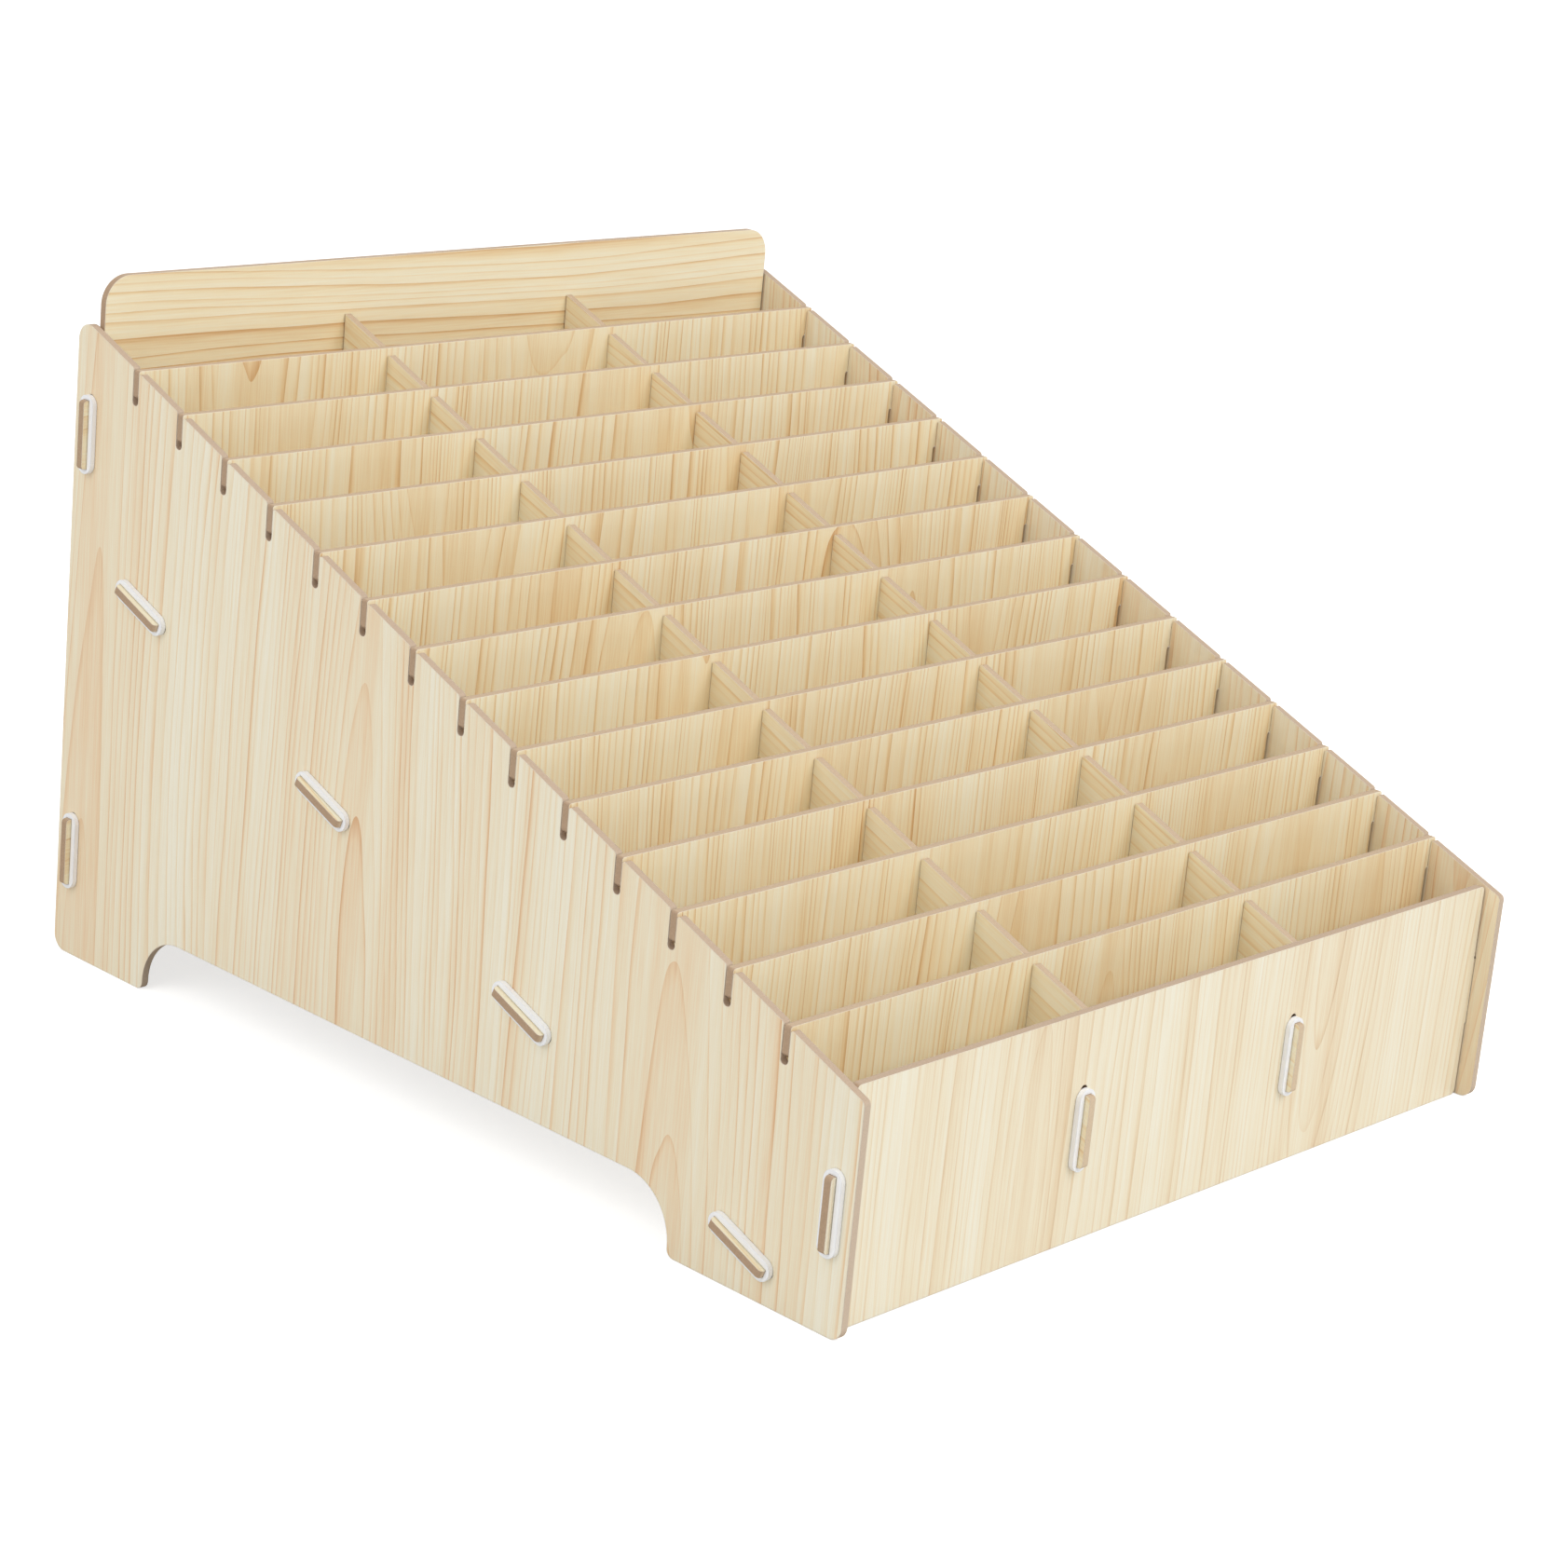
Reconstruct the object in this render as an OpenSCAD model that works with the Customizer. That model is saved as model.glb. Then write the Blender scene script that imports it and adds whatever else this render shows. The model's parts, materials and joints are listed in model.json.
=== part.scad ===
// Stepped compartment organizer: a knock-down rack of thin film-faced boards.
// Two side panels carry a front panel, a back panel and a sloped floor by tabs, each tab held on the
// outside by a plastic lock ring. Column dividers run up the slope, and row dividers drop into open slots.
// Lengths are in millimetres. The front is at -Y, the table is z = 0, the origin is below the middle.

/* [Boards] */
// Thickness of every board
board_t = 2.4; // [2:0.1:4]

/* [Compartments] */
// Compartments side by side
columns = 3; // [2:1:4]
// Compartments from front to back
rows = 15; // [10:1:18]
// Clear width of one compartment
cell_w = 95; // [70:0.5:130]
// Clear depth of one compartment, front to back
cell_d = 19.6; // [16:0.1:26]
// Upright depth of a compartment, from the slope line down to the floor
cell_h = 67; // [60:0.1:90]
// Angle at which the rows climb to the back, in degrees
slope_deg = 21.8; // [16:0.1:26]

/* [Side panels] */
// How far the front panel stands behind the side panels' front edge
front_set = 5.6; // [5:0.1:12]
// How far the side panels reach past the back panel
back_set = 6.1; // [4:0.1:12]
// Length of the front foot
foot_front = 64.5; // [55:0.5:75]
// Length of the back foot
foot_back = 46; // [35:0.5:60]
// Height of the arch between the feet
arch_h = 19.5; // [12:0.5:24]
// Radius of the arch's two upper corners
arch_r = 18; // [8:0.5:30]
// Radius of the feet's inner corners
foot_r = 2.5; // [1:0.1:5]
// Radius of the bottom front corner
bottom_front_r = 4; // [1:0.1:8]
// Radius of the bottom back corner
bottom_back_r = 5; // [1:0.1:8]
// Radius of the top back corner
top_back_r = 5; // [1:0.1:8]
// Radius of the top front corner
top_front_r = 1.8; // [1:0.1:5]

/* [Front and back panels] */
// Height of the back panel's top above the slope line
back_rise = 16.3; // [12:0.1:40]
// Radius of the back panel's top corners
back_r = 9; // [2:0.5:15]
// Gap between the back panel's ends and the side panels
back_gap = 0.7; // [0.3:0.1:4]
// Gap between the front panel's ends and the side panels
front_gap = 0.5; // [0.2:0.1:2]
// Radius of the front panel's corners and the back panel's bottom corners
panel_r = 1.8; // [0.5:0.1:4]

/* [Row dividers] */
// Depth of the slots in the side panels, below the slope line
slot_depth = 10.8; // [10.8:0.1:16]
// Height of the outer end of the ears that hang in those slots
ear_h = 7.9; // [5:0.1:8]
// How much deeper an ear is at its root
ear_taper = 2.5; // [0:0.1:2.6]
// Gap between a row divider's body and the side panels, below its ears
body_gap = 1; // [0.3:0.1:3]
// Radius of a slot's two lips, and of the ears' corners
lip_r = 0.8; // [0.3:0.1:1.5]
// Radius of the inner corner under an ear
ear_r = 0.5; // [0.3:0.1:2]
// Radius of the corners in a slot's closed end
slot_end_r = 1.3; // [0.4:0.1:2]

/* [Column dividers] */
// How far the column dividers' top edge lies below the slope line
column_drop = 1.5; // [1:0.1:4]
// Spare height between the two closed slot ends where dividers cross
lap_gap = 2.4; // [1.6:0.1:5]

/* [Tabs and lock rings] */
// Length of every tab
tab_l = 21.5; // [16:0.5:26]
// How far a tab stands out of the panel that it passes through
tab_proud = 3.5; // [0.5:0.1:5]
// Radius of a tab's outer corners
tab_r = 1.2; // [0.5:0.1:4]
// Height of the lower tabs' middle above the table
tab_z = 34.5; // [28:0.5:38]
// Depth of the upper tabs' middle below the slope line
upper_tab_drop = 33; // [28:0.5:44]
// Tabs along each side of the floor
floor_tabs = 4; // [2:1:4]
// Distance of the outermost floor tabs' middle from the floor's ends
floor_tab_inset = 30.5; // [28:0.5:36]
// Wall of a lock ring along its tab
ring_wall = 1.8; // [1.2:0.1:3]
// Wall of a lock ring past the ends of its tab
ring_end = 1.5; // [1.2:0.1:3]
// Height of a lock ring on its panel
ring_h = 1.6; // [0.8:0.1:3]
// Spare length of a tab's hole at one end
hole_play = 1.5; // [1.2:0.1:3]
// Spare length of the holes at the column dividers' tabs
column_hole_play = 2.1; // [1.2:0.1:3]
// Spare length of the hole at the side panels' front tab
front_hole_play = 1.2; // [1.2:0.1:3]

/* [Clearances] */
// Clearance on each side of a divider in its slots
slot_play = 0.175; // [0.1:0.025:0.4]
// Clearance in front of a row divider, which sits forward in its slots
front_play = 0.075; // [0.05:0.025:0.1]
// Gap between the end of a board and the face that it meets
end_gap = 0.3; // [0.1:0.05:1]
// Gap under the dividers, above the floor
seat_gap = 0.2; // [0.1:0.05:0.6]
// Gap between a tab's faces and its lock ring
ring_play = 0.25; // [0.1:0.05:0.6]
// Gap between a tab's edges and its lock ring, and between the ring and its panel
ring_gap = 0.1; // [0.05:0.05:0.3]
// Height of the floor's front edge above the table
floor_lift = 1.3; // [0.2:0.1:4]

/* [Hidden] */
// Largest distance between a rounded corner's arc and its straight steps
arc_tol = 0.02;
// Shortest straight stretch left between two rounded corners
land = 0.1;
board_colour = "#e6d9bb";
divider_colour = "#dcc99f";
ring_colour = "#e8ebf2";

// Overall sizes, measured along y from the side panels' front edge
pitch = cell_d + board_t;
inner_w = columns * cell_w + (columns - 1) * board_t;
width = inner_w + 2 * board_t;
front_inner = front_set + board_t;
back_inner = front_inner + rows * pitch - board_t;
depth = back_inner + board_t + back_set;

// The floor: its ends stay clear of the front and back panels, and its front edge of the table
rise = tan(slope_deg);
floor_upright_t = board_t / cos(slope_deg);
floor_lean = board_t / 2 * sin(slope_deg);
floor_front = front_inner + end_gap + floor_lean;
floor_back = back_inner - end_gap - floor_lean;
floor_mid = (floor_front + floor_back) / 2;
floor_len = (floor_back - floor_front) / cos(slope_deg);
floor_front_z = floor_lift + board_t / 2 * cos(slope_deg);

// Heights of the floor's middle, of its top face and of the slope line at a place y
function floor_z(y) = floor_front_z + (y - floor_front) * rise;
function floor_top(y) = floor_z(y) + floor_upright_t / 2;
function slope_z(y) = floor_top(y) + cell_h;

front_h = slope_z(front_set);
back_h = slope_z(back_inner) + back_rise;
upper_tab_z = slope_z(back_inner + board_t / 2) - upper_tab_drop;

// Middles of the row dividers along y and of the column dividers along x, counted from 1
function row_y(k) = front_inner + k * pitch - board_t / 2;
function column_x(j) = -inner_w / 2 + j * (cell_w + board_t) - board_t / 2;

// Height of the middle of the lap where row divider k crosses the column dividers
function lap_z(k) = floor_top(row_y(k)) + cell_h / 2;

// Slots, holes and rings follow the board that passes through them
slot_w = board_t + 2 * slot_play;
slot_r = min(slot_end_r, slot_w / 2 - land);
tab_reach = board_t + tab_proud;
ring_inner_l = tab_l + 2 * ring_gap;
ring_inner_w = board_t + 2 * ring_play;
ring_l = ring_inner_l + 2 * ring_end;
ring_w = ring_inner_w + 2 * ring_wall;

// Tabs on each side panel: a name, the place [y, z] of the middle, the angle of the length and the
// spare length of the hole
floor_tab_step = (floor_len - 2 * floor_tab_inset) / (floor_tabs - 1);
function floor_tab_u(i) = (i - (floor_tabs + 1) / 2) * floor_tab_step;
function floor_tab_y(i) = floor_mid + floor_tab_u(i) * cos(slope_deg);
SIDE_TABS = concat(
    [for (i = [1:floor_tabs])
        [str("floor_", i), [floor_tab_y(i), floor_z(floor_tab_y(i))], slope_deg + 180, hole_play]],
    [
        ["front", [front_inner - board_t / 2, tab_z], 90, front_hole_play],
        ["back_lower", [back_inner + board_t / 2, tab_z], 90, hole_play],
        ["back_upper", [back_inner + board_t / 2, upper_tab_z], 90, hole_play],
    ]
);

// Names of the nodes
SIDES = ["left", "right"];
function two_digits(n) = str(n < 10 ? "0" : "", n);
function row_name(k) = str("row_divider_", two_digits(k));
function column_name(j) = str("column_divider_", j);
function side_ring_name(side, tab) = str(side, "_ring_", tab[0]);
function column_ring_name(end, j) = str(end, "_ring_column_", j);

// Outlines: each corner is [x, y, radius], and an arc replaces a corner that has a radius
function unit(v) = v / norm(v);
function turned(v, a) = [v.x * cos(a) - v.y * sin(a), v.x * sin(a) + v.y * cos(a)];
function arc_steps(sweep, r) = ceil(sweep / (2 * acos(1 - min(arc_tol / r, 0.5))));
function point(c) = [c[0], c[1]];
function corner_arc(before, corner, after, r) =
    r <= 0 ? [corner] :
    let (
        u = unit(before - corner),
        w = unit(after - corner),
        half = acos(u * w) / 2,
        centre = corner + unit(u + w) * r / sin(half),
        first = corner + u * r / tan(half) - centre,
        last = corner + w * r / tan(half) - centre,
        sweep = sign(cross(first, last)) * (180 - 2 * half),
        steps = arc_steps(abs(sweep), r)
    )
    [for (i = [0:steps]) centre + turned(first, sweep * i / steps)];
function rounded(c) =
    let (n = len(c))
    [for (i = [0:n - 1])
        each corner_arc(point(c[(i + n - 1) % n]), point(c[i]), point(c[(i + 1) % n]), c[i][2])];

// A strip of length l and width w with half-round ends, along x
function stadium(l, w) =
    let (steps = arc_steps(180, w / 2))
    [for (end = [1, -1], i = [0:steps])
        end * ([(l - w) / 2, 0] + turned([0, -w / 2], 180 * i / steps))];

// The slope's edge from back to front, lowered by drop, with a slot at each row divider
function slotted_slope(drop, slot_z) =
    [for (k = [rows - 1:-1:1])
        let (
            upper = row_y(k) + slot_w / 2,
            lower = row_y(k) - slot_w / 2
        )
        each [
            [upper, slope_z(upper) - drop, lip_r],
            [upper, slot_z[k], slot_r],
            [lower, slot_z[k], slot_r],
            [lower, slope_z(lower) - drop, lip_r],
        ]];

// Boards: a flat outline becomes a board that stands front to back, or that faces the front
module standing_board(x) {
    translate([x, -depth / 2, 0])
        rotate([90, 0, 90])
            linear_extrude(board_t)
                children();
}

module facing_board(y) {
    translate([0, y + board_t - depth / 2, 0])
        rotate([90, 0, 0])
            linear_extrude(board_t)
                children();
}

// A tab that points along +x from x = 0, rooted a little inside its board
module tab(reach) {
    root = board_t;
    polygon(rounded([
        [-root, -tab_l / 2, 0],
        [reach, -tab_l / 2, min(tab_r, reach - land)],
        [reach, tab_l / 2, min(tab_r, reach - land)],
        [-root, tab_l / 2, 0],
    ]));
}

// The hole for a tab, its length along x, with its spare length at the +x end
module tab_hole(spare) {
    end = tab_l / 2 + slot_play;
    polygon(rounded([
        [-end, -slot_w / 2, 0],
        [end + spare, -slot_w / 2, slot_r],
        [end + spare, slot_w / 2, slot_r],
        [-end, slot_w / 2, 0],
    ]));
}

// A lock ring with its length along x, just above the panel's outer face at z = 0
module lock_ring() {
    color(ring_colour)
        translate([0, 0, ring_gap])
            linear_extrude(ring_h)
                difference() {
                    polygon(stadium(ring_l, ring_w));
                    square([ring_inner_l, ring_inner_w], center = true);
                }
}

module side_panel(x) {
    slot_z = [for (k = [0:rows - 1]) slope_z(row_y(k)) - slot_depth];
    arch_back = depth - foot_back;
    arch_corner = min(arch_r, arch_h - foot_r - land);
    color(board_colour)
        standing_board(x)
            difference() {
                polygon(rounded(concat(
                    [
                        [0, 0, bottom_front_r],
                        [foot_front, 0, foot_r],
                        [foot_front, arch_h, arch_corner],
                        [arch_back, arch_h, arch_corner],
                        [arch_back, 0, foot_r],
                        [depth, 0, bottom_back_r],
                        [depth, slope_z(depth), top_back_r],
                    ],
                    slotted_slope(0, slot_z),
                    [[0, slope_z(0), top_front_r]]
                )));
                for (t = SIDE_TABS)
                    translate(t[1])
                        rotate(t[2])
                            tab_hole(t[3]);
            }
}

module left_side_panel() {
    side_panel(-width / 2);
}

module right_side_panel() {
    side_panel(width / 2 - board_t);
}

// A board across the front or back, with tabs through both side panels and holes for the columns
module cross_panel(y, half_w, h, top_r, tab_heights, hole_z) {
    color(board_colour)
        facing_board(y)
            difference() {
                union() {
                    polygon(rounded([
                        [-half_w, 0, panel_r],
                        [half_w, 0, panel_r],
                        [half_w, h, top_r],
                        [-half_w, h, top_r],
                    ]));
                    for (side = [-1, 1], z = tab_heights)
                        translate([side * half_w, z])
                            rotate(90 - 90 * side)
                                tab(inner_w / 2 + tab_reach - half_w);
                }
                for (j = [1:columns - 1])
                    translate([column_x(j), hole_z])
                        rotate(90)
                            tab_hole(column_hole_play);
            }
}

module front_panel() {
    cross_panel(front_set, inner_w / 2 - front_gap, front_h, panel_r, [tab_z], tab_z);
}

module back_panel() {
    cross_panel(back_inner, inner_w / 2 - back_gap, back_h, back_r, [tab_z, upper_tab_z], upper_tab_z);
}

module sloped_floor() {
    half_w = inner_w / 2 - end_gap;
    color(board_colour)
        translate([0, floor_mid - depth / 2, floor_z(floor_mid)])
            rotate([slope_deg, 0, 0])
                translate([0, 0, -board_t / 2])
                    linear_extrude(board_t) {
                        square([2 * half_w, floor_len], center = true);
                        for (side = [-1, 1], i = [1:floor_tabs])
                            translate([side * half_w, floor_tab_u(i)])
                                rotate(90 - 90 * side)
                                    tab(tab_reach + end_gap);
                    }
}

module column_divider(j) {
    slot_z = [for (k = [0:rows - 1]) lap_z(k) - lap_gap / 2];
    front_end = front_inner + end_gap;
    back_end = back_inner - end_gap;
    color(divider_colour)
        standing_board(column_x(j) - board_t / 2) {
            polygon(rounded(concat(
                [
                    [front_end, floor_top(front_end) + seat_gap, 0],
                    [back_end, floor_top(back_end) + seat_gap, 0],
                    [back_end, slope_z(back_end) - column_drop, 0],
                ],
                slotted_slope(column_drop, slot_z),
                [[front_end, slope_z(front_end) - column_drop, 0]]
            )));
            translate([back_end, upper_tab_z])
                tab(tab_reach + end_gap);
            translate([front_end, tab_z])
                rotate(180)
                    tab(tab_reach + end_gap);
        }
}

module row_divider(k) {
    top = slope_z(row_y(k));
    ear = top - ear_h;
    root = ear - ear_taper;
    bottom = floor_top(row_y(k) + board_t / 2) + seat_gap;
    lap = lap_z(k) + lap_gap / 2;
    body_w = inner_w / 2 - body_gap;
    color(divider_colour)
        facing_board(row_y(k) - board_t / 2 - slot_play + front_play)
            polygon(rounded(concat(
                [[-body_w, bottom, lip_r]],
                [for (j = [1:columns - 1])
                    let (
                        left = column_x(j) - slot_w / 2,
                        right = column_x(j) + slot_w / 2
                    )
                    each [
                        [left, bottom, lip_r],
                        [left, lap, slot_r],
                        [right, lap, slot_r],
                        [right, bottom, lip_r],
                    ]],
                [
                    [body_w, bottom, lip_r],
                    [body_w, root, ear_r],
                    [width / 2, ear, lip_r],
                    [width / 2, top, lip_r],
                    [-width / 2, top, lip_r],
                    [-width / 2, ear, lip_r],
                    [-body_w, root, ear_r],
                ]
            )));
}

// Lock rings: on the side panels around the tabs of the floor, front and back panels
module side_ring(side, t) {
    mirror([side == "left" ? 1 : 0, 0, 0])
        translate([width / 2, t[1].x - depth / 2, t[1].y])
            rotate([90, 0, 90])
                rotate(t[2])
                    lock_ring();
}

// Lock rings around the column dividers' tabs, outside the front and back panels
module front_ring(j) {
    translate([column_x(j), front_set - depth / 2, tab_z])
        rotate([90, 0, 0])
            rotate(90)
                lock_ring();
}

module back_ring(j) {
    translate([column_x(j), back_inner + board_t - depth / 2, upper_tab_z])
        mirror([0, 1, 0])
            rotate([90, 0, 0])
                rotate(90)
                    lock_ring();
}

left_side_panel();
right_side_panel();
front_panel();
back_panel();
sloped_floor();
for (j = [1:columns - 1])
    column_divider(j);
for (k = [1:rows - 1])
    row_divider(k);
for (side = SIDES, t = SIDE_TABS)
    side_ring(side, t);
for (j = [1:columns - 1])
    front_ring(j);
for (j = [1:columns - 1])
    back_ring(j);
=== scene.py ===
# %% [markdown]
# # A stepped compartment rack in pine-film fibreboard
#
# The real rack is a flat-pack: thin fibreboard, faced on both sides with a printed pine film, cut into
# boards that slot together, with white plastic rings round the tabs. The solids come from CAD and already
# have every slot, tab and rounded corner. Here they get what CAD leaves out: smooth shading, the printed
# grain, the brown cut edges, the light and the camera.

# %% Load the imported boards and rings
import json
import math

import bpy
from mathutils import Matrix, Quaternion, Vector

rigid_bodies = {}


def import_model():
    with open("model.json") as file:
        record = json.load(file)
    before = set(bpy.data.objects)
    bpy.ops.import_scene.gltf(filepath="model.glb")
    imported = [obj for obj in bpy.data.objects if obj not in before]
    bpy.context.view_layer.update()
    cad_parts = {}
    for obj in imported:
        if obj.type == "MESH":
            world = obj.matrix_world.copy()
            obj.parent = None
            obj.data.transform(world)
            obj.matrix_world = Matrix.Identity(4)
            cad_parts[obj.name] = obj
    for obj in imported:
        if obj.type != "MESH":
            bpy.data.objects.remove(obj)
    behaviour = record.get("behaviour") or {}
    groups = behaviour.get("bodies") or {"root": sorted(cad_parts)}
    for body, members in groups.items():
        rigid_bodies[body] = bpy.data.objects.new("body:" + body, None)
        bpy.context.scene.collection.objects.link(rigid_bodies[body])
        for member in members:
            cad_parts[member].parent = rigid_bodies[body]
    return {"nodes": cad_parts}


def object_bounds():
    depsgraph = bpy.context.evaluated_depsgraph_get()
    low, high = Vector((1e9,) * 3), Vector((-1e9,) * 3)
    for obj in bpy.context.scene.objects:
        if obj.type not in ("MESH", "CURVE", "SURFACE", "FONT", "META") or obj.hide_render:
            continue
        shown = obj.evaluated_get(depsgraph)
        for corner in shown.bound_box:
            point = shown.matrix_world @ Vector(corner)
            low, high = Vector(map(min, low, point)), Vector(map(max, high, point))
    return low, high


# Blender starts with objects of its own, which have no place here.
for leftover in list(bpy.data.objects):
    bpy.data.objects.remove(leftover)

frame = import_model()
cad_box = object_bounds()
nodes = frame["nodes"]
scene = bpy.context.scene
MM = 0.001

# %% [markdown]
# ## The camera
#
# The photograph was taken with a longish lens from the front left, a little above the rack, and the
# camera was tilted, so the uprights lean. The numbers come from fitting the slots, the base and the panel
# edges of the rack to the picture. A camera is easiest to read as a point it looks at, a direction, a
# distance and a roll about its own axis, so it is built from those. The picture was cropped round the
# rack, so the middle of the lens is a little above the middle of the picture; a lens shift does the same.

# %% Camera at the photograph's place
LENS_MM = 85.07
SENSOR_MM = 36.0
LENS_SHIFT = -0.08                      # of the picture's width, downwards
NEAREST, FARTHEST = 0.01, 60.0          # m from the camera
AIM = Vector((1.51, 5.81, 118.12)) * MM
VIEW_AZIMUTH = math.radians(47.65)      # from +Y towards +X
VIEW_DOWN = math.radians(15.51)
VIEW_ROLL = math.radians(5.445)
VIEW_DISTANCE = 1148.4 * MM

looking = Vector((
    math.sin(VIEW_AZIMUTH) * math.cos(VIEW_DOWN),
    math.cos(VIEW_AZIMUTH) * math.cos(VIEW_DOWN),
    -math.sin(VIEW_DOWN),
))
lens = bpy.data.cameras.new("studio_camera")
lens.lens, lens.sensor_width, lens.shift_y = LENS_MM, SENSOR_MM, LENS_SHIFT
lens.clip_start, lens.clip_end = NEAREST, FARTHEST
camera = bpy.data.objects.new("studio_camera", lens)
scene.collection.objects.link(camera)
camera.rotation_mode = "QUATERNION"
camera.location = AIM - looking * VIEW_DISTANCE
camera.rotation_quaternion = looking.to_track_quat("-Z", "Y") @ Quaternion((0, 0, 1), VIEW_ROLL)
scene.camera = camera
print("camera at", [round(v, 3) for v in camera.location])

# %% [markdown]
# ## Helpers for materials
#
# Colours are written as the sRGB hex values that a paint chart or a picture editor shows. Blender mixes
# light in linear numbers, so one function turns one into the other. A second one adds a node: it takes
# the node's settings and what goes into its sockets, which is either a value or another node.

# %% Colour and node helpers
def linear(hex_colour):
    """Turns an sRGB hex colour such as #e8dcbf into linear red, green, blue and alpha."""
    channels = [int(hex_colour[i:i + 2], 16) / 255 for i in (1, 3, 5)]
    return [c / 12.92 if c <= 0.04045 else ((c + 0.055) / 1.055) ** 2.4 for c in channels] + [1.0]


def add_node(tree, kind, inputs=None, **settings):
    """Adds one node, sets its properties and fills its sockets with values or links."""
    shading = tree.bl_idname == "ShaderNodeTree"
    node = tree.nodes.new("ShaderNode" + kind if shading else kind)
    for name, value in settings.items():
        setattr(node, name, value)
    for key, value in (inputs or {}).items():
        shown = [s for s in node.inputs if s.enabled]
        socket = shown[key] if isinstance(key, int) else next(s for s in shown if s.name == key)
        if isinstance(value, bpy.types.Node):
            value = next(s for s in value.outputs if s.enabled)
        if isinstance(value, bpy.types.NodeSocket):
            tree.links.new(value, socket)
        else:
            socket.default_value = value
    return node


def new_material(name):
    """A material with an empty node tree, and that tree."""
    material = bpy.data.materials.new(name)
    material.use_nodes = True
    material.node_tree.nodes.clear()
    return material, material.node_tree


print("mid grey #808080 is", round(linear("#808080")[0], 3), "in linear light")

# %% [markdown]
# ## Pine film: the place on the print
#
# The boards are fibreboard about 2.4 mm thick, with a film on both sides that is printed like flat-sawn
# pine. The eye sees three things: a pale cream ground with growth rings that darken slowly to a tan line
# and then drop back, a soft satin sheen, and cut edges of plain brown fibre.
#
# A picture of wood could be wrapped on the boards, but it would need files and seams. Instead the print
# is worked out at every point, in steps. The first step says where a point lies on the print, in
# millimetres across and along the grain. Each board, and each side of it, takes another part of the
# print. Four noises serve the later steps: the trunk sways over a third of a metre and wobbles over a few
# centimetres, and the print has stripes a centimetre wide and single fibres.

# %% Place on the print
SIDE_SHIFT = (71.0, 233.0)      # mm across and along, from the print on one side of a board to the other
SHIFT_ALONG = 1.7               # mm along the grain for each mm by which a board is shifted across
PRINT_NOISES = {                # mm across, mm along, and octaves of finer detail
    "sway": (60.0, 330.0, 0.0),
    "wobble": (8.0, 90.0, 1.0),
    "stripe": (10.0, 400.0, 2.0),
    "fibre": (0.6, 25.0, 2.0),  # coarser than real fibres, so that they show
}


def place_on_print(tree, place, look, across, along):
    """Millimetres across and along the grain, and the noises of the print there."""
    own = add_node(tree, "Attribute", attribute_type="OBJECT", attribute_name="print_shift")
    shift = own.outputs["Fac"]
    side = add_node(tree, "Math", {0: look, 1: 0.0}, operation="GREATER_THAN")
    across_raw = add_node(tree, "VectorMath", {0: place, 1: Vector(across) / MM}, operation="DOT_PRODUCT")
    across_board = add_node(tree, "Math", {0: across_raw, 1: shift}, operation="ADD")
    across_mm = add_node(tree, "Math", {0: side, 1: SIDE_SHIFT[0], 2: across_board},
                         operation="MULTIPLY_ADD")
    along_raw = add_node(tree, "VectorMath", {0: place, 1: Vector(along) / MM}, operation="DOT_PRODUCT")
    along_board = add_node(tree, "Math", {0: shift, 1: SHIFT_ALONG, 2: along_raw}, operation="MULTIPLY_ADD")
    along_mm = add_node(tree, "Math", {0: side, 1: SIDE_SHIFT[1], 2: along_board}, operation="MULTIPLY_ADD")

    print_at = add_node(tree, "CombineXYZ", {"X": across_mm, "Y": along_mm})
    noises = {}
    for name, (wide, long, detail) in PRINT_NOISES.items():
        at = add_node(tree, "VectorMath", {0: print_at, 1: (1 / wide, 1 / long, 0)}, operation="MULTIPLY")
        noises[name] = add_node(tree, "TexNoise", {"Vector": at, "Scale": 1.0, "Detail": detail},
                                noise_dimensions="2D")
    return across_mm, along_mm, noises


print("noises of the print:", ", ".join(PRINT_NOISES))

# %% [markdown]
# ## Pine film: the distance from the heart
#
# The rings are worked out from what they are. A log is a stack of cones, and a plank is a flat cut
# through it, so the distance from the heart of the log is a hypotenuse: across the board on one side, and
# the depth of the cut below the heart on the other. Next to the heart the cut runs along the rings and
# they come out wide. Further away it runs through them and the lines get straight and close. Where the
# depth drifts along the trunk, the wide rings close into the tall pointed flames that flat-sawn pine has.

# %% Distance from the heart
PLANK_WIDTH = 130.0             # mm from one heart to the next across the print
SWAY, WOBBLE = 18.0, 2.4        # mm by which the trunk sways and wobbles
CUT_DEPTH = 21.0                # mm between the heart of the log and the cut, on the average
CUT_DRIFT = 32.0                # mm by which that depth varies along the trunk
DRIFT_ACROSS, DRIFT_ALONG = 90.0, 290.0     # mm over which it varies


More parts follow.
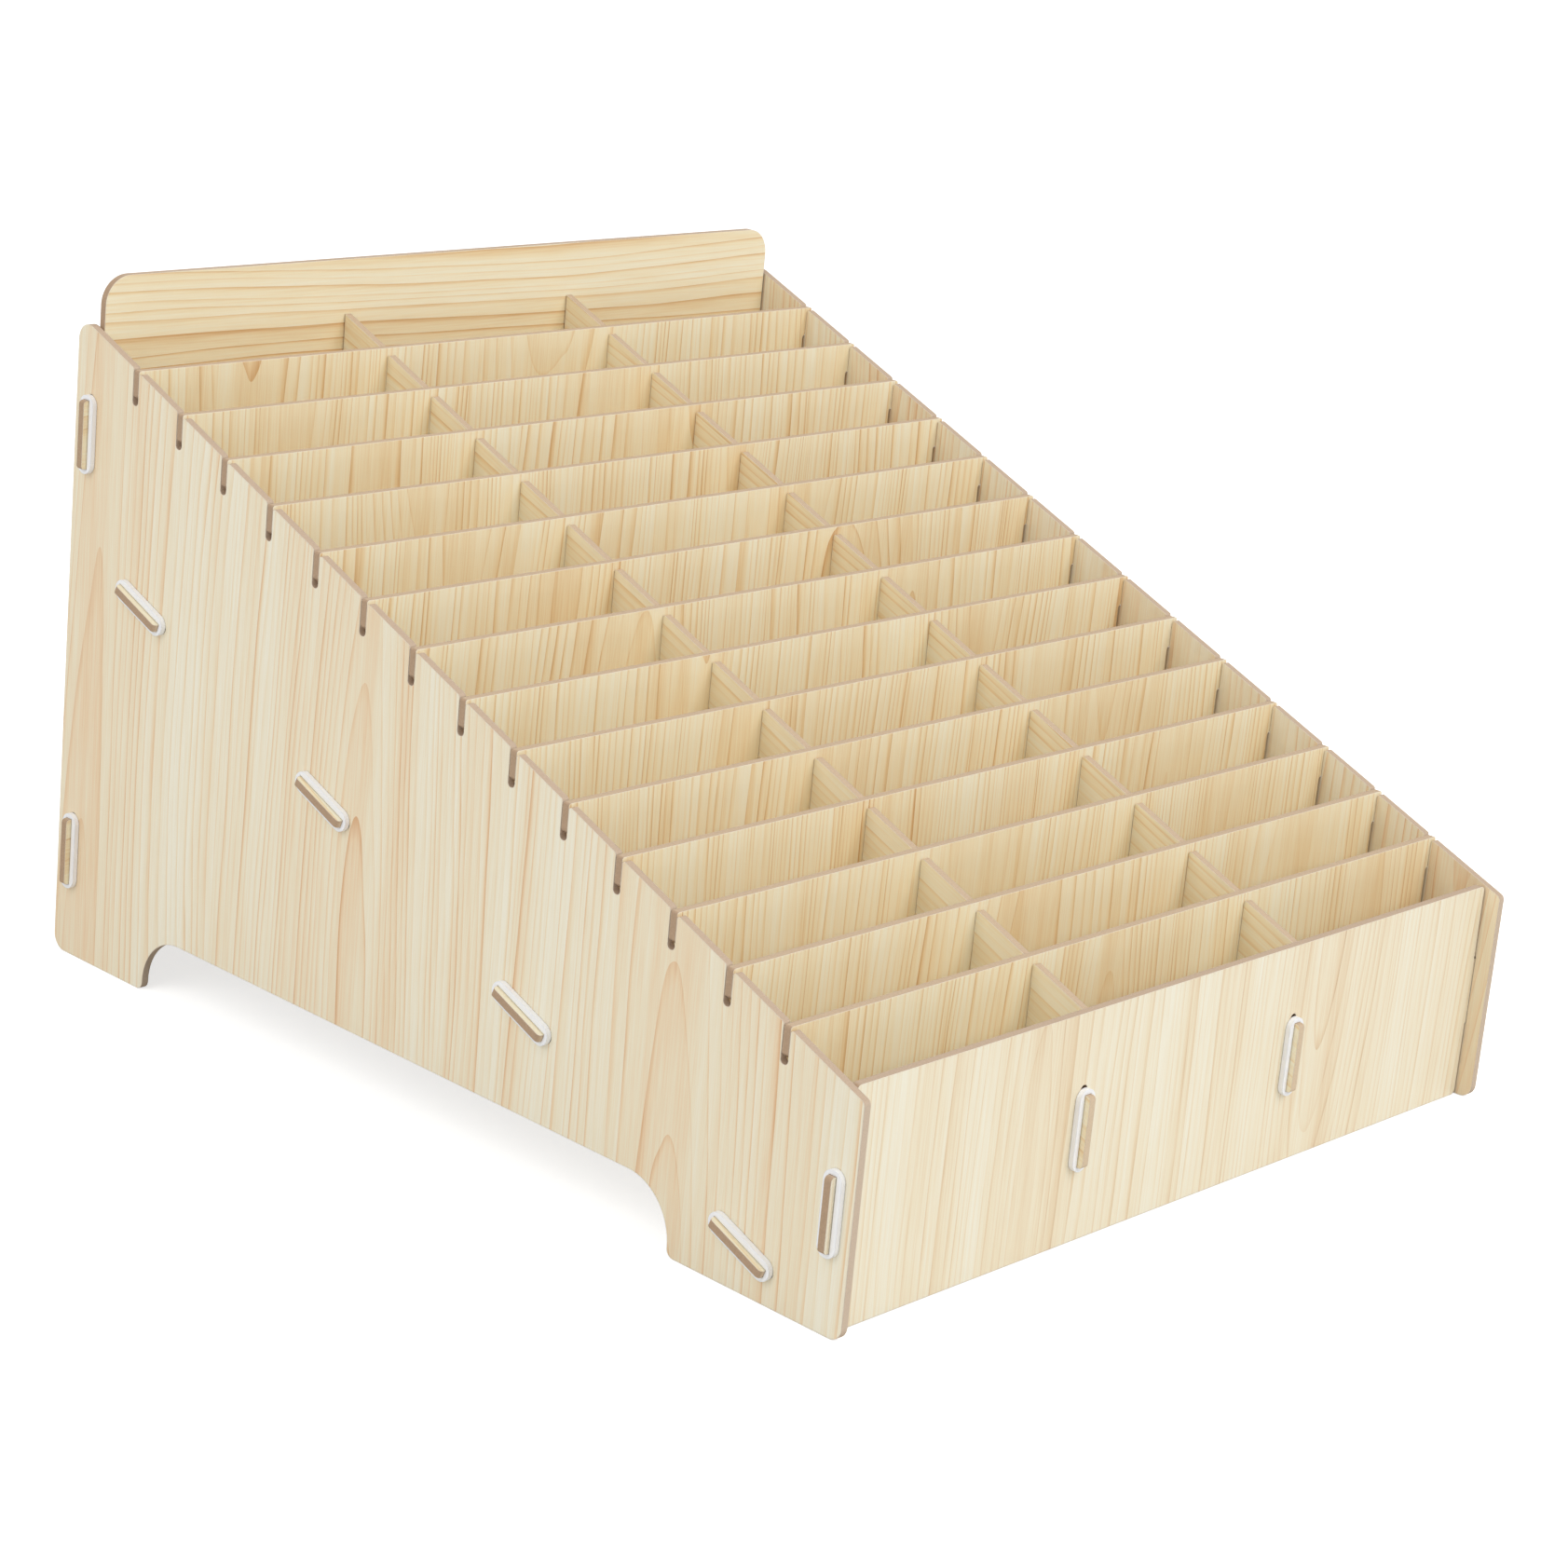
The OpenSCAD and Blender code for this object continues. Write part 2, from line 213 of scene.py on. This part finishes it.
def heart_distances(tree, across_mm, along_mm, noises):
    """Millimetres from the nearest heart, on the board and in the log, and the number of the plank."""
    swayed = add_node(tree, "Math", {0: noises["sway"], 1: SWAY, 2: across_mm}, operation="MULTIPLY_ADD")
    grown = add_node(tree, "Math", {0: noises["wobble"], 1: WOBBLE, 2: swayed}, operation="MULTIPLY_ADD")
    from_heart = add_node(tree, "Math", {0: grown, 1: PLANK_WIDTH / 2}, operation="PINGPONG")
    plank_raw = add_node(tree, "Math", {0: grown, 1: 1 / PLANK_WIDTH, 2: 0.5}, operation="MULTIPLY_ADD")
    plank = add_node(tree, "Math", {0: plank_raw}, operation="FLOOR")

    drift_along = add_node(tree, "Math", {0: along_mm, 1: 1 / DRIFT_ALONG}, operation="MULTIPLY")
    drift_across = add_node(tree, "Math", {0: across_mm, 1: 1 / DRIFT_ACROSS, 2: plank},
                            operation="MULTIPLY_ADD")
    depth_at = add_node(tree, "CombineXYZ", {"X": drift_along, "Y": drift_across})
    drift = add_node(tree, "TexNoise", {"Vector": depth_at, "Scale": 1.0, "Detail": 0.0},
                     noise_dimensions="2D")
    depth = add_node(tree, "Math", {0: drift, 1: CUT_DRIFT, 2: CUT_DEPTH - CUT_DRIFT / 2},
                     operation="MULTIPLY_ADD")
    flat_square = add_node(tree, "Math", {0: from_heart, 1: 2.0}, operation="POWER")
    depth_square = add_node(tree, "Math", {0: depth, 1: 2.0}, operation="POWER")
    radius_square = add_node(tree, "Math", {0: flat_square, 1: depth_square}, operation="ADD")
    radius = add_node(tree, "Math", {0: radius_square}, operation="SQRT")
    return from_heart, radius, plank


print("a heart every", PLANK_WIDTH, "mm, cut at", CUT_DEPTH, "mm")

# %% [markdown]
# ## Pine film: the growth rings
#
# Rings are counted outwards from the heart, with fast and slow trees, good years and poor years. Each
# ring darkens from its pale early wood to its end, where a thin line closes it. Some rings are stronger
# than others. Where the cut runs along a ring, next to the heart, the print is softer.

# %% Growth rings
FAST_GROWTH = 0.6               # how much wider than the least a fast tree's rings are
YEARS_SPAN = 14.0               # mm in the log over which good years turn to poor ones
YEARS_SHIFT = 3.5               # rings by which they move a ring
PLANK_KEY = 37.0                # keeps the rings of neighbouring planks from being alike
HEART_STRIP = 4.0               # mm beside the heart where rings get no wider on the board
LINE_WIDTH = 1.1                # mm on the board, the widest line that ends a ring
LINE_SHARE = 0.45               # of a ring, the most that its line takes
LINE_DARK, GROWTH_DARK = 0.65, 0.4          # what the line and the slow darkening add
GROWTH_CURVE = 1.8                          # above 1, a ring darkens mostly near its end
RING_LEAST, RING_MORE = 0.2, 0.6            # the weakest ring, and how much stronger others are
CROSS_CUT, LONG_CUT = 1.2, 4.5              # how much wider than in the log a ring is on the board
CROSS_CONTRAST, LONG_CONTRAST = 1.25, 0.75  # contrast of the rings there


def late_wood(tree, from_heart, radius, plank, rings, contrast):
    """How dark the rings are, from 0 for early wood. The rings are at least so many mm wide in the log."""
    tree_mood = add_node(tree, "TexWhiteNoise", {"W": plank}, noise_dimensions="1D")
    ring_width = add_node(tree, "Math", {0: tree_mood, 1: FAST_GROWTH * rings, 2: rings},
                          operation="MULTIPLY_ADD")
    ring_even = add_node(tree, "Math", {0: radius, 1: ring_width}, operation="DIVIDE")
    years_at = add_node(tree, "Math", {0: radius, 1: 1 / YEARS_SPAN, 2: plank}, operation="MULTIPLY_ADD")
    years = add_node(tree, "TexNoise", {"W": years_at, "Scale": 1.0, "Detail": 1.0}, noise_dimensions="1D")
    ring = add_node(tree, "Math", {0: years, 1: YEARS_SHIFT, 2: ring_even}, operation="MULTIPLY_ADD")
    ring_part = add_node(tree, "Math", {0: ring}, operation="FRACT")
    ring_number = add_node(tree, "Math", {0: ring}, operation="FLOOR")
    ring_key = add_node(tree, "Math", {0: plank, 1: PLANK_KEY, 2: ring_number}, operation="MULTIPLY_ADD")
    ring_mood = add_node(tree, "TexWhiteNoise", {"W": ring_key}, noise_dimensions="1D")

    off_heart = add_node(tree, "Math", {0: from_heart, 1: HEART_STRIP}, operation="MAXIMUM")
    stretch = add_node(tree, "Math", {0: radius, 1: off_heart}, operation="DIVIDE")
    on_board = add_node(tree, "Math", {0: ring_width, 1: stretch}, operation="MULTIPLY")
    ring_left = add_node(tree, "Math", {0: 1.0, 1: ring_part}, operation="SUBTRACT")
    to_line_mm = add_node(tree, "Math", {0: ring_left, 1: on_board}, operation="MULTIPLY")
    line_share = add_node(tree, "Math", {0: on_board, 1: LINE_SHARE}, operation="MULTIPLY")
    line_width = add_node(tree, "Math", {0: line_share, 1: LINE_WIDTH}, operation="MINIMUM")
    line = add_node(tree, "MapRange", {"Value": to_line_mm, "From Max": line_width,
                                       "To Min": LINE_DARK, "To Max": 0.0})
    growth = add_node(tree, "Math", {0: ring_part, 1: GROWTH_CURVE}, operation="POWER")
    late = add_node(tree, "Math", {0: growth, 1: GROWTH_DARK, 2: line}, operation="MULTIPLY_ADD")

    rich = add_node(tree, "MapRange", {"Value": stretch, "From Min": CROSS_CUT, "From Max": LONG_CUT,
                                       "To Min": CROSS_CONTRAST * contrast,
                                       "To Max": LONG_CONTRAST * contrast})
    mood = add_node(tree, "Math", {0: ring_mood, 1: RING_MORE, 2: RING_LEAST}, operation="MULTIPLY_ADD")
    mood_here = add_node(tree, "Math", {0: mood, 1: rich}, operation="MULTIPLY")
    return add_node(tree, "Math", {0: late, 1: mood_here}, operation="MULTIPLY")


print("lines up to", LINE_WIDTH, "mm wide")

# %% [markdown]
# ## Pine film: the colours of the print
#
# A print has four colours: early wood, the ground that the eye takes as the board's colour, late wood,
# and the line that ends a ring. The side panels have pinker lines than the front panel. The dividers and
# the back panel get a more golden print: partly a slightly more golden sheet, and partly painted shade,
# the warm dim light between the wooden walls of the compartments. Rings, stripes and fibres add up to one
# tone, which a ramp turns into a colour. Near the heart the wood is a little warmer.

# %% Film colours
PINK_PRINT = ("#f3edd9", "#efe2c5", "#ebd0ab", "#d8a87a")
PALE_PRINT = ("#f3edd9", "#efe2c5", "#e6cfab", "#cba67b")
# partly a more golden sheet, partly painted shade of the compartments
GOLDEN_PRINT_AND_SHADE = ("#f7efd4", "#f5e5c0", "#edd1a2", "#d4a56e")
GROUND_STOP, LATE_STOP = 0.3, 0.6           # where the two middle colours lie on the ramp
WARM_SPAN = 32.0                            # mm from the heart over which the warmth fades
WARM_HEART, WARM_OUTSIDE = 0.16, -0.04
STRIPE_TONE, FIBRE_TONE = 0.7, 0.45         # what the two noises add
PALEST_TONE, DARKEST_TONE = 0.37, 1.37      # the ends of the ramp


def film_colour(tree, late, from_heart, noises, colours):
    """The colour of the print, from the rings, the stripes and the fibres."""
    warm = add_node(tree, "MapRange", {"Value": from_heart, "From Max": WARM_SPAN,
                                       "To Min": WARM_HEART, "To Max": WARM_OUTSIDE})
    warmed = add_node(tree, "Math", {0: late, 1: warm}, operation="ADD")
    striped = add_node(tree, "Math", {0: noises["stripe"], 1: STRIPE_TONE, 2: warmed},
                       operation="MULTIPLY_ADD")
    tone = add_node(tree, "Math", {0: noises["fibre"], 1: FIBRE_TONE, 2: striped}, operation="MULTIPLY_ADD")
    level = add_node(tree, "MapRange", {"Value": tone, "From Min": PALEST_TONE, "From Max": DARKEST_TONE})
    film = add_node(tree, "ValToRGB", {"Fac": level})
    stops = film.color_ramp.elements
    stops[0].position, stops[1].position = 0.0, 1.0
    for position in (GROUND_STOP, LATE_STOP):
        stops.new(position)
    for stop, colour in zip(stops, colours):
        stop.color = linear(colour)
    return film


print("grounds:", PINK_PRINT[1], PALE_PRINT[1], GOLDEN_PRINT_AND_SHADE[1])

# %% [markdown]
# ## Pine film: the cut edges
#
# A cut edge shows pressed fibres of a few tenths of a millimetre and no rings, so a fine noise between
# two browns is enough. The tone then follows the way an edge faces, as painted light and shade: ends that
# face left and right are the brownest, and edges that face up or down are half way between them and the
# pale edges that face front and back.

# %% Cut fibreboard
PANEL_EDGE = ("#c1ac97", "#d8c4ae")         # dark and pale fibres of a long edge
DIVIDER_EDGE = ("#cbb498", "#e4ceb0")
CUT_END = ("#a4896f", "#c1a488")
FLECK_MM = 0.5                              # a little coarser than real fibres, so that it shows
# painted light and shade: how much of the brown of the ends each facing gets
FACING_SHADE_SHARE = (1, 0, 0.5)                   # for faces that look along X, Y and Z


def cut_fibre(tree, place, flat, edge):
    """The colour of a cut edge, with painted light and shade by the way it faces, and the flecks of its
    fibres.
    """
    fleck = add_node(tree, "TexNoise", {"Vector": place, "Scale": 1 / (FLECK_MM * MM), "Detail": 3.0})
    long_edge, cut_end = (
        add_node(tree, "Mix", {"Factor": fleck, "A": linear(dark), "B": linear(pale)}, data_type="RGBA")
        for dark, pale in (edge, CUT_END)
    )
    turned = add_node(tree, "VectorMath", {0: flat}, operation="ABSOLUTE")
    # painted light and shade by facing: brownest facing left and right, palest facing front and back
    painted_facing_shade = add_node(tree, "VectorMath", {0: turned, 1: FACING_SHADE_SHARE}, operation="DOT_PRODUCT")
    cut = add_node(tree, "Mix", {"Factor": painted_facing_shade, "A": long_edge, "B": cut_end}, data_type="RGBA")
    return cut, fleck


print("flecks of", FLECK_MM, "mm")

# %% [markdown]
# ## Pine film: one material for film and cut edge
#
# A face that looks the way the board faces is film, and any other is cut fibre, so the boundary always
# falls on the arris. Nothing real has knife-sharp arrises: a Bevel node rounds the light there, which
# works on any mesh. It also shows where the arris is, because its normal leans away from the flat one.
# There a pale thread is painted, on the film and more narrowly on the cut: partly the film that the die
# has pressed over, and partly a painted highlight for the light that a rounded arris catches.

# %% Pine film on fibreboard
PALE_THREAD_AND_HIGHLIGHT = "#f4e8d6"                     # partly the film's own edge, pressed over the arris, and partly a painted highlight
ARRIS_MM, ARRIS_SAMPLES = 0.5, 6
# Cosines of the lean at which the thread begins and is full, and how strong it is then.
FILM_LEAN = {"From Min": 0.98, "From Max": 0.85, "To Max": 0.95}
CUT_LEAN = {"From Min": 0.92, "From Max": 0.75, "To Max": 0.8}
# Cosines of the angle to the board's facing, below which a face is cut fibre and above which it is film.
FILM_FACING = {"From Min": 0.6, "From Max": 0.8}
FIBRE_ROUGHNESS, FILM_ROUGHNESS = 0.85, 0.42
RELIEF_MM, RELIEF_STRENGTH = 0.05, 0.25
FILM_IOR = 1.5


def pine_film(name, colours, edge, across, along, facing, rings, contrast):
    """Film-faced fibreboard: print across and along two directions, on faces that look along facing."""
    material, tree = new_material(name)
    place = add_node(tree, "TexCoord").outputs["Object"]
    true_normal = add_node(tree, "NewGeometry").outputs["True Normal"]
    flat = add_node(tree, "VectorTransform", {"Vector": true_normal},
                    vector_type="NORMAL", convert_from="WORLD", convert_to="OBJECT")
    look = add_node(tree, "VectorMath", {0: flat, 1: facing}, operation="DOT_PRODUCT")

    across_mm, along_mm, noises = place_on_print(tree, place, look, across, along)
    from_heart, radius, plank = heart_distances(tree, across_mm, along_mm, noises)
    late = late_wood(tree, from_heart, radius, plank, rings, contrast)
    film = film_colour(tree, late, from_heart, noises, colours)
    cut, fleck = cut_fibre(tree, place, flat, edge)

    arris = add_node(tree, "Bevel", {"Radius": ARRIS_MM * MM}, samples=ARRIS_SAMPLES)
    lean = add_node(tree, "VectorMath", {0: arris, 1: true_normal}, operation="DOT_PRODUCT")
    # the pale thread along the arris: partly film, partly a painted highlight
    edged_film, edged_cut = (
        add_node(tree, "Mix", {"Factor": add_node(tree, "MapRange", {"Value": lean, **lean_range}),
                               "A": surface, "B": linear(PALE_THREAD_AND_HIGHLIGHT)}, data_type="RGBA")
        for surface, lean_range in ((film, FILM_LEAN), (cut, CUT_LEAN))
    )
    facing_amount = add_node(tree, "Math", {0: look}, operation="ABSOLUTE")
    is_film = add_node(tree, "MapRange", {"Value": facing_amount, **FILM_FACING})
    colour = add_node(tree, "Mix", {"Factor": is_film, "A": edged_cut, "B": edged_film}, data_type="RGBA")
    roughness = add_node(tree, "MapRange", {"Value": is_film, "To Min": FIBRE_ROUGHNESS,
                                            "To Max": FILM_ROUGHNESS})
    relief = add_node(tree, "Mix", {"Factor": is_film, "A": fleck, "B": noises["fibre"]}, data_type="FLOAT")
    bump = add_node(tree, "Bump", {"Height": relief, "Strength": RELIEF_STRENGTH,
                                   "Distance": RELIEF_MM * MM, "Normal": arris})
    shader = add_node(tree, "BsdfPrincipled", {"Base Color": colour, "Roughness": roughness,
                                               "IOR": FILM_IOR, "Normal": bump})
    add_node(tree, "OutputMaterial", {"Surface": shader})
    print(name, "has", len(tree.nodes), "nodes")
    return material


# %% [markdown]
# ## Six sheets of film
#
# The grain stands upright on the side panels, the front panel and the row dividers. It lies along the
# back panel, and runs up the slope on the column dividers and the floor.

# %% Film of each kind of board
X, Y, Z = (1, 0, 0), (0, 1, 0), (0, 0, 1)
SLOPE = math.radians(21.8)      # of the floor and the column dividers, as in CAD
UP_SLOPE = (0, math.cos(SLOPE), math.sin(SLOPE))
OFF_SLOPE = (0, -math.sin(SLOPE), math.cos(SLOPE))
side_film = pine_film("pine_film_sides", PINK_PRINT, PANEL_EDGE,
                      across=Y, along=Z, facing=X, rings=2.1, contrast=0.7)
front_film = pine_film("pine_film_front", PALE_PRINT, PANEL_EDGE,
                       across=X, along=Z, facing=Y, rings=2.1, contrast=0.5)
back_film = pine_film("pine_film_back", GOLDEN_PRINT_AND_SHADE, PANEL_EDGE,
                      across=Z, along=X, facing=Y, rings=2.5, contrast=0.85)
row_film = pine_film("pine_film_rows", GOLDEN_PRINT_AND_SHADE, DIVIDER_EDGE,
                     across=X, along=Z, facing=Y, rings=1.7, contrast=0.7)
column_film = pine_film("pine_film_columns", GOLDEN_PRINT_AND_SHADE, DIVIDER_EDGE,
                        across=OFF_SLOPE, along=UP_SLOPE, facing=X, rings=2.1, contrast=0.5)
floor_film = pine_film("pine_film_floor", GOLDEN_PRINT_AND_SHADE, DIVIDER_EDGE,
                       across=X, along=UP_SLOPE, facing=OFF_SLOPE, rings=2.1, contrast=0.6)

# %% [markdown]
# ## White lock rings
#
# The rings are small injection mouldings, in plain white polypropylene: a slightly cool white, a dull
# gloss and the faint orange-peel of a spark-eroded mould. A flat white would look like paper, so the
# gloss is broken by a fine bump and the white drifts a little.

# %% Ring material
RING_WHITE, RING_SHADE = "#f9fafd", "#f3f5f9"
RING_ARRIS_MM = 0.3
CLOUD_MM = 6.0
PEEL_MM, PEEL_DEPTH_MM, PEEL_STRENGTH = 0.35, 0.03, 0.2     # coarser than the real peel, so that it shows
RING_ROUGHNESS, RING_IOR = 0.38, 1.49
ring_plastic, tree = new_material("polypropylene_white_moulded")
place = add_node(tree, "TexCoord").outputs["Object"]
cloud = add_node(tree, "TexNoise", {"Vector": place, "Scale": 1 / (CLOUD_MM * MM), "Detail": 2.0})
white = add_node(tree, "Mix", {"Factor": cloud, "A": linear(RING_SHADE), "B": linear(RING_WHITE)},
                 data_type="RGBA")
peel = add_node(tree, "TexNoise", {"Vector": place, "Scale": 1 / (PEEL_MM * MM), "Detail": 2.0})
arris = add_node(tree, "Bevel", {"Radius": RING_ARRIS_MM * MM}, samples=ARRIS_SAMPLES)
peel_bump = add_node(tree, "Bump", {"Height": peel, "Strength": PEEL_STRENGTH,
                                    "Distance": PEEL_DEPTH_MM * MM, "Normal": arris})
shader = add_node(tree, "BsdfPrincipled", {"Base Color": white, "Roughness": RING_ROUGHNESS,
                                           "IOR": RING_IOR, "Normal": peel_bump})
add_node(tree, "OutputMaterial", {"Surface": shader})
print(ring_plastic.name, "has", len(tree.nodes), "nodes")

# %% [markdown]
# ## Smooth corners
#
# The rounded corners of the CAD solids are made of short flat steps. A short row of modifiers makes them
# look round without touching the CAD mesh: the faces are welded, every edge that turns by a small angle
# is shaded smoothly, and weighted normals keep the big faces flat. The middle one is a small geometry
# node group.

# %% Smooth corners
SHARP_FROM = math.radians(35)
WELD_WITHIN = 1e-6              # m
smooth_corners = bpy.data.node_groups.new("smooth_corners", "GeometryNodeTree")
for way in ("INPUT", "OUTPUT"):
    smooth_corners.interface.new_socket("Geometry", in_out=way, socket_type="NodeSocketGeometry")
entry = add_node(smooth_corners, "NodeGroupInput")
all_smooth = add_node(smooth_corners, "GeometryNodeSetShadeSmooth", {"Geometry": entry})
turn = add_node(smooth_corners, "GeometryNodeInputMeshEdgeAngle")
is_sharp = add_node(smooth_corners, "FunctionNodeCompare", {"A": turn, "B": SHARP_FROM},
                    operation="GREATER_THAN")
keep_sharp = add_node(smooth_corners, "GeometryNodeSetShadeSmooth",
                      {"Geometry": all_smooth, "Selection": is_sharp, "Shade Smooth": False}, domain="EDGE")
add_node(smooth_corners, "NodeGroupOutput", {"Geometry": keep_sharp})


def smooth(piece):
    """Shades the rounded corners of a CAD piece smoothly, with modifiers."""
    piece.modifiers.new("weld", "WELD").merge_threshold = WELD_WITHIN
    piece.modifiers.new("smooth_corners", "NODES").node_group = smooth_corners
    piece.modifiers.new("flat_faces", "WEIGHTED_NORMAL").keep_sharp = True


print("corners stay sharp from", round(math.degrees(SHARP_FROM)), "degrees")

# %% [markdown]
# ## Finishing the boards and the rings
#
# Every piece gets its smooth corners and its material. A board also gets its own shift, in millimetres,
# which the film reads, so that no two boards show the same part of the print.

# %% Finishes
ROW_SHIFT, COLUMN_SHIFT = 137.0, 53.0       # mm from one divider to the next
PANEL_FINISH = {
    "left_side_panel": (side_film, 93.0),
    "right_side_panel": (side_film, 411.0),
    "front_panel": (front_film, 55.0),
    "back_panel": (back_film, 91.0),
    "sloped_floor": (floor_film, 260.0),
}
for name, piece in nodes.items():
    smooth(piece)
    last_word = name.split("_")[-1]
    if "_ring_" in name:
        finish, shift = ring_plastic, 0.0
    elif name.startswith("row_divider"):
        finish, shift = row_film, ROW_SHIFT * int(last_word)
    elif name.startswith("column_divider"):
        finish, shift = column_film, COLUMN_SHIFT * int(last_word)
    else:
        finish, shift = PANEL_FINISH[name]
    piece["print_shift"] = shift
    piece.material_slots[0].material = finish
print("finished", len(nodes), "pieces")

# %% [markdown]
# ## Floor and background
#
# The rack was photographed on white. A big pale floor and an even white sky stand round it. They are
# lifted to white only for what the camera sees, directly, in a gloss or through glass, so the light on
# the rack stays at a plain level and the floor still shows its shadow.

# %% Floor and sky
WHITE, PAPER = "#ffffff", "#d5d5d3"
PAPER_ROUGHNESS = 0.95
SKY_LEVEL = 0.55                # strength of the sky as a light; the camera sees it at 1, which is white
FLOOR_LIFT = 0.72               # glow of the floor that the camera sees on top of the light on it
FLOOR_HALF = 15.0               # m
FLOOR_GAP_MM = 0.2              # below the feet


def seen_by_camera(tree):
    """1 for what the camera sees, directly, in a gloss or through glass, and 0 for other light."""
    ray = add_node(tree, "LightPath")
    seen = ray.outputs["Is Camera Ray"]
    for way in ("Is Glossy Ray", "Is Transmission Ray"):
        seen = add_node(tree, "Math", {0: seen, 1: ray.outputs[way]}, operation="MAXIMUM")
    return seen


floor_paper, tree = new_material("matt_white_paper_sweep")
lift = add_node(tree, "Math", {0: seen_by_camera(tree), 1: FLOOR_LIFT}, operation="MULTIPLY")
paper = add_node(tree, "BsdfPrincipled", {"Base Color": linear(PAPER), "Roughness": PAPER_ROUGHNESS,
                                          "Emission Color": linear(WHITE), "Emission Strength": lift})
add_node(tree, "OutputMaterial", {"Surface": paper})

floor_mesh = bpy.data.meshes.new("studio_floor")
floor_corners = [(x * FLOOR_HALF, y * FLOOR_HALF, 0) for x, y in ((-1, -1), (1, -1), (1, 1), (-1, 1))]
floor_mesh.from_pydata(floor_corners, [], [(0, 1, 2, 3)])
floor_mesh.materials.append(floor_paper)
studio_floor = bpy.data.objects.new("studio_floor", floor_mesh)
studio_floor.location.z = cad_box[0].z - FLOOR_GAP_MM * MM
scene.collection.objects.link(studio_floor)

sky = bpy.data.worlds.new("white_sky")
sky.use_nodes = True
tree = sky.node_tree
tree.nodes.clear()
level = add_node(tree, "MapRange", {"Value": seen_by_camera(tree), "To Min": SKY_LEVEL, "To Max": 1.0})
light = add_node(tree, "Background", {"Color": linear(WHITE), "Strength": level})
add_node(tree, "OutputWorld", {"Surface": light})
scene.world = sky
scene.view_settings.view_transform = "Standard"
print("floor", 2 * FLOOR_HALF, "m wide under", sky.name)

# %% [markdown]
# ## Studio lamps
#
# The floor and sky already give an even light. A large lamp stands on the left for the side panel.
# Another, a little brighter, stands in front and high enough to reach into the compartments. Large lamps
# keep the shadows in the compartments soft.

# %% Lamps
LAMP_SIZE = 1.8                 # m
LAMPS = {                       # place in m, and watts
    "left_softbox": ((-1.85, 0.1, 1.65), 19.5),
    "front_softbox": ((0.45, -1.75, 1.75), 28.6),
}
for name, (place, watts) in LAMPS.items():
    softbox = bpy.data.lights.new(name, "AREA")
    softbox.energy, softbox.size = watts, LAMP_SIZE
    lamp = bpy.data.objects.new(name, softbox)
    scene.collection.objects.link(lamp)
    lamp.location = place
    lamp.rotation_euler = (AIM - Vector(place)).to_track_quat("-Z", "Y").to_euler()
print("lamps:", ", ".join(LAMPS))
